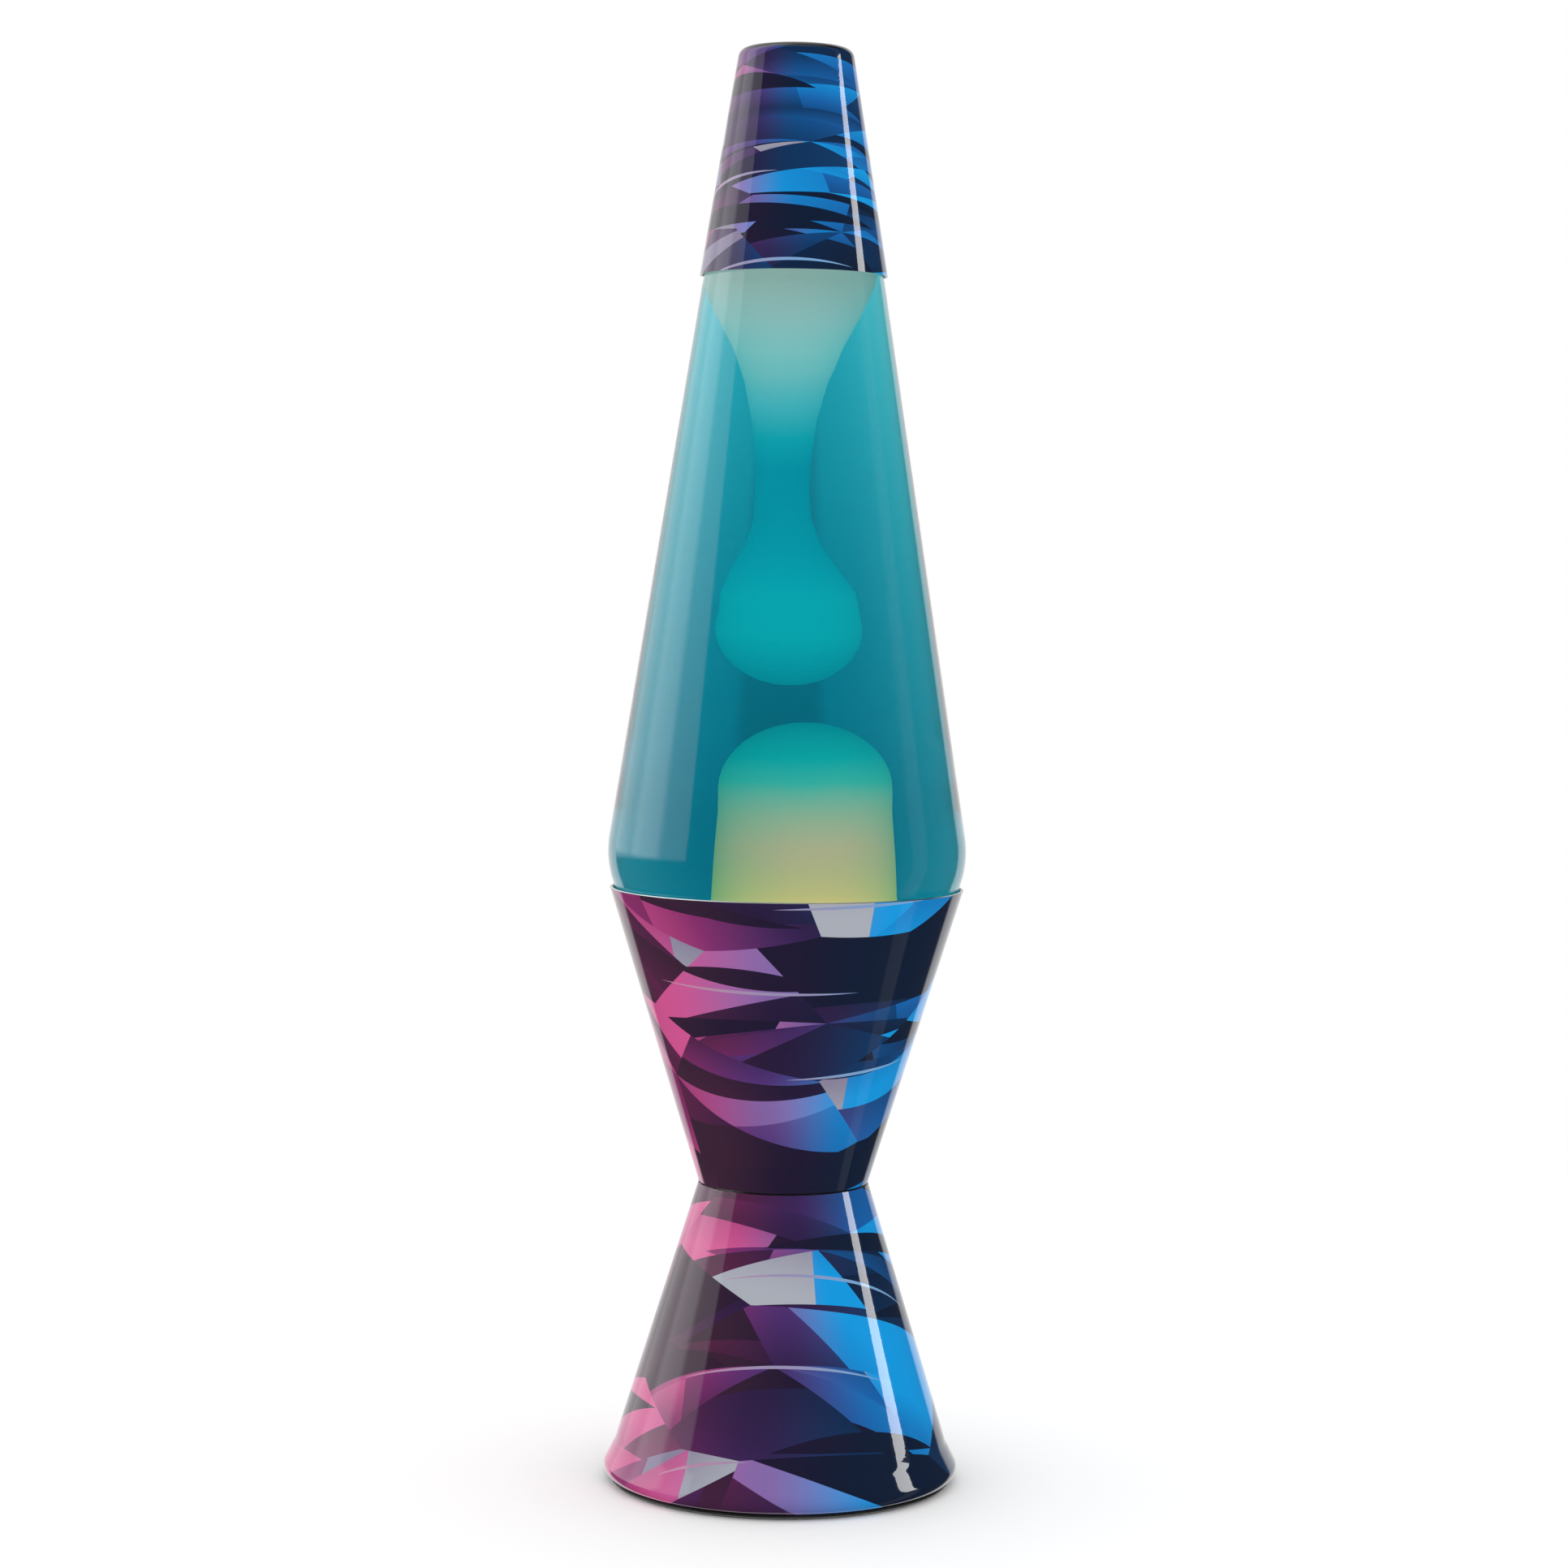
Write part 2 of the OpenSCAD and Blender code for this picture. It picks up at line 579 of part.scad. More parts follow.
// Steel spring bent into a ring on the floor of the globe, which spreads the heat.
coil_ring_r = 15;
coil_r = 2.4;
coil_wire_r = 0.4;
coil_z = inner_floor + 4.4;
module heat_coil() {
    turns = 34;
    steps = 8;
    sweep = 330;
    angles = [for (i = [0 : turns * steps]) sweep * i / (turns * steps)];
    path = [for (i = [0 : turns * steps]) let (a = angles[i], b = 360 * i / steps)
        [(coil_ring_r + coil_r * cos(b)) * cos(a) + column_x / 2, (coil_ring_r + coil_r * cos(b)) * sin(a),
         coil_z + coil_r * sin(b)]];
    color("slategray") wire(path, [for (a = angles) [-sin(a), cos(a), 0]], coil_wire_r, 5);
}
module coil_groove() {
    translate([column_x / 2, 0, coil_z]) rotate_extrude()
        translate([coil_ring_r, 0]) circle(coil_r + coil_wire_r + 0.15);
}

// Coloured liquid that fills the globe round the wax.
module liquid() {
    g = 0.06;
    color("teal", 0.5) difference() {
        turned(concat([[0, pool_z - 2], [seat_at(pool_z - 2) - glass_t * lower_k - g, pool_z - 2]],
            [for (p = globe_side_inner(glass_t)) if (p[1] > pool_z && p[1] < fill_z) [p[0] - g, p[1]]],
            [[globe_at(fill_z) - glass_t * upper_k - g, fill_z], [0, fill_z]]));
        wax_shape_column(0.1);
        translate([hanging_x, 0, 0]) {
            turned(mass_side(0.1));
            turned(drop_side(0.1));
        }
    }
}

// Crown cap over a soft liner, crimped under the bead of the bottle's mouth.
crown_top = finish_z + 1.25;
module bottle_seal() { color("white") disc(12.6, finish_z + touch, 0.8); }
module crown_cap() {
    flutes = 21;
    skirt_z = finish_z - 4.6;
    function flute(r, n) = [for (i = [0 : n * flutes - 1]) let (a = 360 * i / (n * flutes))
        (r + 0.45 * cos(a * flutes)) * [cos(a), sin(a)]];
    color("silver") {
        turned(concat([[0, crown_top - 0.35], [12.9, crown_top - 0.35], [13.45, crown_top - 1], [13.45, finish_z - 0.6],
            [14.1, finish_z - 0.6], [14.1, crown_top - 1.1]],
            arc([12.8, crown_top - 1.3], 1.3, 10, 90, 4), [[0, crown_top]]));
        translate([0, 0, skirt_z]) linear_extrude(height = finish_z - 0.6 - skirt_z) difference() {
            polygon(flute(14.2, 8));
            circle(13.45);
        }
    }
}

// --- Cap ----------------------------------------------------------------------------

cap_corner = 2.6;
cap_slope = (cap_r - cap_top_r) / (lamp_h - cap_z);
function cap_at(z) = cap_r - (z - cap_z) * cap_slope;
cap_k = norm([1, cap_slope]);
cap_c = [cap_at(lamp_h - cap_corner) - cap_corner * cap_k, lamp_h - cap_corner];
// The side of the cap from its open edge to its flat top, moved in by d.
function cap_side(d, z) = concat(
    [[cap_at(z) - d, z]],
    arc(cap_c, cap_corner - d, atan(cap_slope), 90, 7));
module cap() {
    out = film_out;
    in = film_out + cap_t;
    color(metal_colour) turned(concat(
        cap_side(out, cap_z), [[0, lamp_h - out], [0, lamp_h - in]], back(cap_side(in, cap_z))));
}
module cap_film() {
    edge = cap_c[0] - 0.6;
    color(film_colour) turned(concat(
        cap_side(0, cap_z), [[edge, lamp_h], [edge, lamp_h - film_t]], back(cap_side(film_t, cap_z))));
}

lower_cone();
lower_cone_film();
upper_cone();
upper_cone_film();
waist_eyelet();
cover_tabs();
bottom_cover();
cover_screws();
rubber_feet();
cord_grommet();
socket_bracket();
bracket_screws();
socket_body();
socket_screws();
socket_shell();
centre_contact();
contact_rivet();
terminal_screws();
bulb_contact();
bulb_insulator();
bulb_shell();
bulb_glass();
bulb_stem();
bulb_wires();
bulb_filament();
globe_glass();
liquid();
heat_coil();
wax_column();
wax_hanging();
wax_drop();
bottle_seal();
crown_cap();
cap();
cap_film();
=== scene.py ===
"""Looks for the lava lamp: printed films, glass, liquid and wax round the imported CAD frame."""

import json
import math

import bmesh
import bpy
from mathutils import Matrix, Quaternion, Vector


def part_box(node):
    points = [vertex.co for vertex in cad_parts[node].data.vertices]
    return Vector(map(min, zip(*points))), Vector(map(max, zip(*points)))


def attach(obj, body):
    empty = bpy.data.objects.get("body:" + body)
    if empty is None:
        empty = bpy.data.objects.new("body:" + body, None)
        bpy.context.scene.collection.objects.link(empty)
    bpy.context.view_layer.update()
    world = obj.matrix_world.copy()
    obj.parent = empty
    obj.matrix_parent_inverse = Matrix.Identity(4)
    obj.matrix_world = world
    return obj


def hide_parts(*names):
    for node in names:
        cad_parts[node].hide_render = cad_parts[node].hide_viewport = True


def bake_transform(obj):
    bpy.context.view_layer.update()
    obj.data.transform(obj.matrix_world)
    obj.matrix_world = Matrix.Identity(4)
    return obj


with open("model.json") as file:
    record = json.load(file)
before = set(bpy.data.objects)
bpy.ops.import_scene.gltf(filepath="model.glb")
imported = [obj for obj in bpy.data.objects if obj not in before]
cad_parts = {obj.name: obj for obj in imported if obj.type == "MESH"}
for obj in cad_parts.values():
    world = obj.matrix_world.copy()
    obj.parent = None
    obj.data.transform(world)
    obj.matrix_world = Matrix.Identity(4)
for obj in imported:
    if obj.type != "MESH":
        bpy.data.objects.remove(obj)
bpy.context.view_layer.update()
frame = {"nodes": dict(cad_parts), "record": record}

MM = 0.001
TURN = 2 * math.pi
ON_AXIS = 0.001 * MM        # a radius below this counts as none
SAME_RING = 0.003 * MM      # circles closer than this are one
NO_LENGTH = 1e-9


# --- Reading sizes off the frame ------------------------------------------------------

def low(node):
    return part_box(node)[0].z


def high(node):
    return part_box(node)[1].z


def points_of(node):
    return [v.co for v in frame["nodes"][node].data.vertices]


def rings_of(node, axis_x):
    """The (radius, height) circles that a turned CAD node's vertices lie on, and which circles
    its edges join. Its front half holds them all."""
    mesh = frame["nodes"][node].data
    rings = []
    ring_of = {}
    for v in mesh.vertices:
        if v.co.y > ON_AXIS:
            continue
        here = Vector((math.hypot(v.co.x - axis_x, v.co.y), v.co.z))
        for i, ring in enumerate(rings):
            if abs(ring.x - here.x) < SAME_RING and abs(ring.y - here.y) < SAME_RING:
                ring_of[v.index] = i
                break
        else:
            ring_of[v.index] = len(rings)
            rings.append(here)
    joined = [set() for _ in rings]
    for edge in mesh.edges:
        a, b = (ring_of.get(v) for v in edge.vertices)
        if a is not None and b is not None and a != b:
            joined[a].add(b)
            joined[b].add(a)
    return rings, joined


def outlines(node, axis_x=0.0):
    """The outlines, as (radius, height) points, that a turned CAD node was made from, the one
    that reaches out furthest first. An outline that stops short of the axis is taken to it."""
    rings, joined = rings_of(node, axis_x)
    left = set(range(len(rings)))
    found = []
    while left:
        ends = [i for i in left if len(joined[i]) == 1]
        chain = [min(ends or left, key=lambda i: rings[i].y)]
        left.discard(chain[0])
        while True:
            onward = [i for i in joined[chain[-1]] if i in left]
            if not onward:
                break
            chain.append(min(onward, key=lambda i: rings[i].y) if len(chain) == 1 else onward[0])
            left.discard(chain[-1])
        points = [rings[i] for i in chain]
        if ends and points[0].x > ON_AXIS:
            points.insert(0, Vector((0, points[0].y)))
        if ends and points[-1].x > ON_AXIS:
            points.append(Vector((0, points[-1].y)))
        found.append(points)
    return sorted(found, key=lambda points: -max(p.x for p in points))


def side_at(points, height):
    """The largest radius of an outline at a height."""
    found = []
    for a, b in zip(points, points[1:]):
        if min(a.y, b.y) <= height <= max(a.y, b.y) and a.y != b.y:
            found.append(a.x + (b.x - a.x) * (height - a.y) / (b.y - a.y))
    return max(found)


# --- Outlines and turned meshes -------------------------------------------------------

STEP = 2.5 * MM             # longest part of a long side
SHORT = 0.25 * MM           # shorter sides stay straight
CUTS = 3                    # parts that a bending side is cut into
CORNER_DEG = 24             # sharper bends of an outline stay corners
SHARP_DEG = 28              # sharper edges of a mesh aren't smoothed


def area_of(points):
    """The area inside a closed outline, negative where it runs clockwise."""
    return sum(a.x * b.y - b.x * a.y for a, b in zip(points, points[1:] + points[:1])) / 2


def upward(points):
    return points if points[0].y < points[-1].y else points[::-1]


def bend_at(points, i):
    """How far, in degrees, a closed outline turns at a point."""
    before = points[i] - points[i - 1]
    after = points[(i + 1) % len(points)] - points[i]
    if min(before.length, after.length) < NO_LENGTH:
        return 180.0
    return math.degrees(before.angle(after))


def fine(points):
    """A closed outline again, with its long sides divided and its gentle bends made round."""
    even = []
    for a, b in zip(points, points[1:] + points[:1]):
        parts = 1 if max(a.x, b.x) < ON_AXIS else max(1, math.ceil((b - a).length / STEP))
        even += [a.lerp(b, k / parts) for k in range(parts)]
    corner = [bend_at(even, i) > CORNER_DEG or p.x < ON_AXIS for i, p in enumerate(even)]
    rounded = []
    for i, a in enumerate(even):
        j = (i + 1) % len(even)
        b = even[j]
        side = b - a
        rounded.append(a)
        if side.length < SHORT or max(a.x, b.x) < ON_AXIS:
            continue
        leave = side if corner[i] else (b - even[i - 1]) / 2
        arrive = side if corner[j] else (even[(j + 1) % len(even)] - a) / 2
        leave, arrive = (way.normalized() * side.length for way in (leave, arrive))
        for k in range(1, CUTS):
            t = k / CUTS
            rounded.append((2 * t**3 - 3 * t**2 + 1) * a + (t**3 - 2 * t**2 + t) * leave
                           + (3 * t**2 - 2 * t**3) * b + (t**3 - t**2) * arrive)
    return [Vector((max(0.0, p.x), p.y)) for p in rounded]


def upright(height):
    return 0.0


def turned(name, outline, segments, hollow=None, axis_x=upright):
    """A mesh of revolution about Z, from closed outlines: the outside and any hollow inside it.
    Points on the axis become poles. axis_x gives the axis at each height."""
    mesh = bmesh.new()
    for points, way in ((outline, 1), (hollow or [], -1)):
        if area_of(points) * way < 0:
            points = points[::-1]
        rings = []
        for p in points:
            x = axis_x(p.y)
            if p.x < ON_AXIS:
                rings.append([mesh.verts.new((x, 0, p.y))])
                continue
            rings.append([
                mesh.verts.new((x + p.x * math.sin(TURN * i / segments),
                                -p.x * math.cos(TURN * i / segments), p.y))
                for i in range(segments)])
        for a, b in zip(rings, rings[1:] + rings[:1]):
            if len(a) == 1 and len(b) == 1:
                continue
            for i in range(segments):
                j = (i + 1) % segments
                corners = [a[i % len(a)], a[j % len(a)], b[j % len(b)], b[i % len(b)]]
                mesh.faces.new([v for k, v in enumerate(corners) if v not in corners[:k]])
    return finished(name, mesh)


def finished(name, mesh):
    """Makes an object of a bmesh, smooth but for its sharper edges."""
    data = bpy.data.meshes.new(name)
    mesh.to_mesh(data)
    mesh.free()
    data.shade_smooth()
    data.set_sharp_from_angle(angle=math.radians(SHARP_DEG))
    obj = bpy.data.objects.new(name, data)
    bpy.context.scene.collection.objects.link(obj)
    return obj


def drilled(obj, start, end, radius):
    """Cuts a round hole through a piece, from one point to another."""
    along = end - start
    mesh = bmesh.new()
    bmesh.ops.create_cone(mesh, cap_ends=True, segments=64, radius1=radius, radius2=radius,
                          depth=along.length)
    drill = finished("drill", mesh)
    drill.rotation_mode = "QUATERNION"
    drill.rotation_quaternion = along.to_track_quat("Z", "Y")
    drill.location = (start + end) / 2
    cut = obj.modifiers.new("hole", "BOOLEAN")
    cut.operation = "DIFFERENCE"
    cut.solver = "EXACT"
    cut.object = drill
    bpy.context.view_layer.update()
    whole = obj.evaluated_get(bpy.context.evaluated_depsgraph_get())
    data = bpy.data.meshes.new_from_object(whole)
    data.set_sharp_from_angle(angle=math.radians(SHARP_DEG))
    obj.modifiers.clear()
    obj.data = data
    bpy.data.objects.remove(drill)
    return obj


# --- Placing pieces -------------------------------------------------------------------

def body_of(node):
    bodies = frame["record"]["behaviour"]["bodies"]
    return next(body for body, nodes in bodies.items() if node in nodes)


def stands_for(obj, material, node):
    """Puts a piece in the place of a CAD node, on its body and in its material slot."""
    obj.data.materials.append(material)
    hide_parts(node)
    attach(obj, body_of(node))
    return obj


def dress(material, *nodes):
    """Gives CAD nodes a material, and leaves their meshes alone."""
    for node in nodes:
        for held in frame["nodes"][node].material_slots:
            held.link = "OBJECT"
            held.material = material


def keep_places(obj):
    """Stores where each vertex is at rest, for the piece's material."""
    places = [0.0] * (3 * len(obj.data.vertices))
    obj.data.vertices.foreach_get("co", places)
    kept = obj.data.attributes.new("at_rest", "FLOAT_VECTOR", "POINT")
    kept.data.foreach_set("vector", places)
    return obj


# --- Shader building ------------------------------------------------------------------

class Nodes:
    """Adds nodes to a tree. Values are numbers, colours or the sockets of other nodes."""

    def __init__(self, tree):
        self.tree = tree

    def put(self, socket, value):
        if isinstance(value, bpy.types.NodeSocket):
            self.tree.links.new(value, socket)
        elif isinstance(value, tuple) and len(value) == 3 and socket.type == "RGBA":
            socket.default_value = (*value, 1.0)
        elif value is not None:
            socket.default_value = value

    def node(self, kind, **settings):
        made = self.tree.nodes.new("ShaderNode" + kind)
        for key, value in settings.items():
            setattr(made, key, value)
        return made

    def math(self, operation, a, b=None, c=None):
        made = self.node("Math", operation=operation)
        for socket, value in zip(made.inputs, (a, b, c)):
            self.put(socket, value)
        return made.outputs[0]

    def product(self, *factors):
        result = factors[0]
        for factor in factors[1:]:
            result = self.math("MULTIPLY", result, factor)
        return result

    def total(self, *terms):
        result = terms[0]
        for term in terms[1:]:
            result = self.math("ADD", result, term)
        return result

    def scaled(self, value, factor, plus=0.0):
        return self.math("MULTIPLY_ADD", value, factor, plus)

    def vector(self, operation, a, b=None, scale=None):
        made = self.node("VectorMath", operation=operation)
        self.put(made.inputs[0], a)
        self.put(made.inputs[1], b)
        if scale is not None:
            self.put(made.inputs["Scale"], scale)
        return made.outputs["Vector"]

    def join(self, x, y, z=0.0):
        made = self.node("CombineXYZ")
        for socket, value in zip(made.inputs, (x, y, z)):
            self.put(socket, value)
        return made.outputs[0]

    def split(self, vector):
        made = self.node("SeparateXYZ")
        self.put(made.inputs[0], vector)
        return made.outputs[:3]

    def mix(self, share, a, b):
        """Colour a, and by share b."""
        made = self.node("Mix", data_type="RGBA", clamp_factor=True)
        # inputs 6 and 7 and output 2 are the node's colours; the rest are for its other types
        for place, value in ((0, share), (6, a), (7, b)):
            self.put(made.inputs[place], value)
        return made.outputs[2]

    def between(self, value, start, end, low_value=0.0, high_value=1.0, smooth=True):
        """low_value at start, high_value at end, and held beyond them."""
        made = self.node("MapRange", interpolation_type="SMOOTHSTEP" if smooth else "LINEAR")
        for key, v in (("Value", value), ("From Min", start), ("From Max", end),
                       ("To Min", low_value), ("To Max", high_value)):
            self.put(made.inputs[key], v)
        return made.outputs[0]

    def ramp(self, value, stops):
        """A colour ramp of (place, colour) stops."""
        made = self.node("ValToRGB")
        ramp = made.color_ramp
        while len(ramp.elements) < len(stops):
            ramp.elements.new(1.0)
        for element, (place, colour) in zip(ramp.elements, stops):
            element.position = place
            element.color = (*colour, 1.0)
        self.put(made.inputs[0], value)
        return made.outputs[0]

    def noise(self, vector, scale, detail=3.0, roughness=0.5):
        made = self.node("TexNoise")
        for key, value in (("Vector", vector), ("Scale", scale), ("Detail", detail),
                           ("Roughness", roughness)):
            self.put(made.inputs[key], value)
        return made.outputs[0]

    def random(self, vector):
        """Three random numbers from 0 to 1 that depend only on the vector."""
        made = self.node("TexWhiteNoise", noise_dimensions="3D")
        self.put(made.inputs["Vector"], vector)
        return self.split(made.outputs["Color"])

    def lean(self, x, y, turn):
        """Distance of (x, y) along the direction that is turn radians from the X axis."""
        return self.total(self.product(x, self.math("COSINE", turn)),
                          self.product(y, self.math("SINE", turn)))


class Shader(Nodes):
    """A material with one Principled surface."""

    def __init__(self, name):
        self.material = bpy.data.materials.new(name)
        self.material.use_nodes = True
        super().__init__(self.material.node_tree)
        self.bsdf = self.tree.nodes["Principled BSDF"]
        self.output = self.tree.nodes["Material Output"]

    def set(self, **values):
        """Sets the surface's own sockets, named with underscores."""
        for key, value in values.items():
            self.put(self.bsdf.inputs[key.replace("_", " ")], value)

    def here(self):
        """Position on the piece, in the row frame at rest, in metres."""
        return self.node("TexCoord").outputs["Object"]

    def bump(self, height, depth, strength, sockets=("Normal",)):
        made = self.node("Bump")
        self.put(made.inputs["Height"], height)
        self.put(made.inputs["Distance"], depth)
        self.put(made.inputs["Strength"], strength)
        for socket in sockets:
            self.put(self.bsdf.inputs[socket], made.outputs[0])

    def round_axis(self):
        """Angle round Z, 0 at the front and growing to the right; distance from Z; height."""
        x, y, z = self.split(self.here())
        across = self.total(self.product(x, x), self.product(y, y))
        return (self.math("ARCTAN2", x, self.scaled(y, -1.0)), self.math("SQRT", across), z)


# --- The print: faceted shards, from magenta at the left to blue at the right -----------

PLUM = (0.040, 0.015, 0.034)
MAGENTA = (0.235, 0.026, 0.13)
PINK = (0.58, 0.085, 0.26)
DUSK = (0.014, 0.009, 0.030)
PURPLE = (0.075, 0.030, 0.16)
LILAC = (0.22, 0.13, 0.36)
NAVY = (0.004, 0.011, 0.032)
BLUE = (0.008, 0.11, 0.36)
SKY = (0.006, 0.29, 0.68)
PALE = (0.37, 0.39, 0.44)
PALE_SHADE = (0.20, 0.17, 0.27)
BLACK_EDGE = (0.004, 0.004, 0.006)

# Shades at which a shard leaves its darkest colour, is deep, and has its middle colour
LEAVES_DARK = 0.16
IS_DEEP = 0.40
IS_MIDDLE = 0.64
TO_PURPLE = (0.10, 0.50)    # hues over which magenta turns to purple
TO_BLUE = (0.48, 0.84)
HUE_JITTER = 0.26           # how far a shard's hue strays from that of its place
SHADING = 0.75              # how much the shade of a bright shard changes along it,
LEAST_SHADING = 0.15        # and that of a dark one
PALE_TONE = 0.88            # shards with a higher tone are pale,
PALE_REACH = 0.27           # if their hue is this near the middle
PALE_SHADING = (-0.30, 0.40)
CRESCENT = 0.30             # thickest dark crescent, as a share of its row
SLIVER = 0.035              # thickest bright sliver
STROKE_SPREAD = 1.2         # how far to each side a stroke's middle may be, in reaches
SHORTEST = 0.4              # shortest stroke, as a share of the longest
STROKE_SHIFT = 0.013        # metres that strokes move up for each 1 of the seed

SECTORS = 7                 # shards round each star point
STRAY = 0.75                # how far star points stray from an even grid
CURL = 1.6                  # most that the shards of a star curve
SWING = 0.055               # how unequal those shards are, in turns
FOLD_LEAN = 1.1             # most that the fold of a shard leans, in radians
FOLD_NEAR = 0.13            # least distance of the fold from the star point, in cells,
FOLD_RANGE = 0.30           # and how much further it may be
SEED_RISE = 1.7             # cells up that the pattern moves for each 1 of the seed
STAR_KEY = 91.0             # these two keep the random draws of shards apart
FOLD_KEY = 3.0


def flat_film(s, side):
    """Where a point lies on the flat sheet that a cone's film is printed on, in metres, and its
    angle round the cone. side is two points up the cone's side."""
    (r0, z0), (r1, z1) = side
    slope = (r1 - r0) / (z1 - z0)
    stretch = math.hypot(1, slope)
    apex = z0 - r0 / slope
    angle, _, z = s.round_axis()
    from_apex = s.scaled(s.math("SUBTRACT", z, apex), stretch)
    fan = s.scaled(angle, abs(slope) / stretch)
    across = s.product(s.math("ABSOLUTE", from_apex), s.math("SINE", fan))
    up = s.product(from_apex, s.math("COSINE", fan))
    return across, up, angle


def stars(s, across, up, cell_w, cell_h, seed):
    """Shards that meet in star points, each with a fold where its looks change. Gives a random
    tone and hue, and how far a point lies along its shard, from about -0.5 to 0.5."""
    point = s.join(s.scaled(across, 1 / cell_w, seed), s.scaled(up, 1 / cell_h, seed * SEED_RISE))
    cell = s.node("TexVoronoi", voronoi_dimensions="2D", feature="F1")
    s.put(cell.inputs["Vector"], point)
    s.put(cell.inputs["Scale"], 1.0)
    s.put(cell.inputs["Randomness"], STRAY)
    colour = cell.outputs["Color"]
    curve, start, wave = s.split(colour)
    dx, dy, _ = s.split(s.vector("SUBTRACT", point, cell.outputs["Position"]))
    dy = s.math("SUBTRACT", dy, s.product(dx, dx, s.scaled(curve, 2 * CURL, -CURL)))

    turned_by = s.scaled(s.math("ARCTAN2", dy, dx), 1 / TURN)
    swing = s.math("SINE", s.total(s.scaled(turned_by, 2 * TURN), s.scaled(wave, TURN)))
    turned_by = s.total(turned_by, start, s.scaled(swing, SWING))
    sector = s.math("FLOOR", s.scaled(turned_by, SECTORS))
    star_key = s.vector("SCALE", colour, scale=STAR_KEY)
    _, distance, lean = s.random(s.vector("ADD", star_key, s.join(sector, seed, 0.0)))

    middle = s.scaled(sector, 1 / SECTORS, 0.5 / SECTORS)
    middle = s.scaled(s.math("SUBTRACT", middle, start), TURN)
    reach = s.lean(dx, dy, s.total(middle, s.scaled(lean, 2 * FOLD_LEAN, -FOLD_LEAN)))
    folded = s.math("GREATER_THAN", reach, s.scaled(distance, FOLD_RANGE, FOLD_NEAR))
    shard_key = s.join(sector, seed, s.product(folded, FOLD_KEY))
    tone, hue, lean = s.random(s.vector("ADD", star_key, shard_key))
    along = s.lean(dx, dy, s.scaled(lean, TURN))
    return tone, hue, along


def palette(s, shade, hue):
    """Colour of a shard: dark to bright by shade, magenta to blue by hue."""
    ramps = []
    for dark, middle, bright in ((PLUM, MAGENTA, PINK), (DUSK, PURPLE, LILAC), (NAVY, BLUE, SKY)):
        deep = tuple(0.3 * m + 0.6 * d for m, d in zip(middle, dark))
        ramps.append(s.ramp(shade, [(0.0, dark), (LEAVES_DARK, dark), (IS_DEEP, deep),
                                    (IS_MIDDLE, middle), (1.0, bright)]))
    magentas, purples, blues = ramps
    left = s.mix(s.between(hue, *TO_PURPLE), magentas, purples)
    return s.mix(s.between(hue, *TO_BLUE), left, blues)


def strokes(s, across, up, thickest, spacing, reach, curve, seed):
    """1 inside curved, pointed strokes across the film, and 0 between them. They lie in rows
    that are spacing apart, of which half are left empty."""
    bent = s.total(up, s.product(across, across, curve), seed * STROKE_SHIFT)
    row = s.scaled(bent, 1 / spacing)
    place, width, kind = s.random(s.join(s.math("FLOOR", row), seed, 1.0))
    middle = s.scaled(place, 2 * STROKE_SPREAD * reach, -STROKE_SPREAD * reach)
    half_width = s.scaled(width, (1 - SHORTEST) * reach, SHORTEST * reach)
    t = s.math("DIVIDE", s.math("SUBTRACT", across, middle), half_width)
    thickness = s.scaled(s.math("SUBTRACT", 1.0, s.product(t, t)), thickest)
    inside = s.math("LESS_THAN", s.math("FRACT", row), thickness)
    return s.product(inside, s.math("LESS_THAN", kind, 0.5))


def print_film(name, side, seed, cell_w, cell_h, blue=0.0, glow=0.0, edge=None):
    """Glossy printed film for one cone. blue moves its colours on towards blue, and glow makes
    them brighter. edge is the height above which it is black."""
    s = Shader(name)
    across, up, angle = flat_film(s, side)
    tone, jitter, along = stars(s, across, up, cell_w, cell_h, seed)
    place_hue = s.scaled(s.math("SINE", angle), 0.5, 0.5 + blue)
    hue = s.total(place_hue, s.scaled(jitter, HUE_JITTER, -HUE_JITTER / 2))
    shade = s.total(tone, s.product(along, s.scaled(tone, SHADING, LEAST_SHADING)), glow)
    colour = palette(s, shade, hue)

    off_middle = s.math("ABSOLUTE", s.math("SUBTRACT", hue, 0.5))
    is_pale = s.product(s.math("GREATER_THAN", tone, PALE_TONE),
                        s.math("LESS_THAN", off_middle, PALE_REACH))
    colour = s.mix(is_pale, colour, s.mix(s.between(along, *PALE_SHADING), PALE_SHADE, PALE))

    crescents = strokes(s, across, up, CRESCENT, spacing=17 * MM, reach=46 * MM, curve=-1.8,
                        seed=seed)
    colour = s.mix(crescents, colour, palette(s, 0.0, place_hue))
    slivers = strokes(s, across, up, SLIVER, spacing=23 * MM, reach=30 * MM, curve=2.2,
                      seed=seed + 0.7)
    colour = s.mix(slivers, colour, s.mix(0.55, PALE, palette(s, 1.0, place_hue)))
    if edge:
        _, _, z = s.split(s.here())
        colour = s.mix(s.math("GREATER_THAN", z, edge), colour, BLACK_EDGE)

    s.set(Base_Color=colour, Roughness=0.30, Coat_Weight=1.0, Coat_Roughness=0.02, Coat_IOR=1.5,
          Specular_IOR_Level=0.0)
    s.bump(s.noise(s.here(), 700.0, 2.0), 0.02 * MM, 0.25, ("Normal", "Coat Normal"))
    return s.material


# --- Metals, plastics, glass and wax ------------------------------------------------------

WATER_IOR = 1.333
WAX_CLOUD = 3 * MM          # how far clouds in the wax shift its painted glow up or down, in all
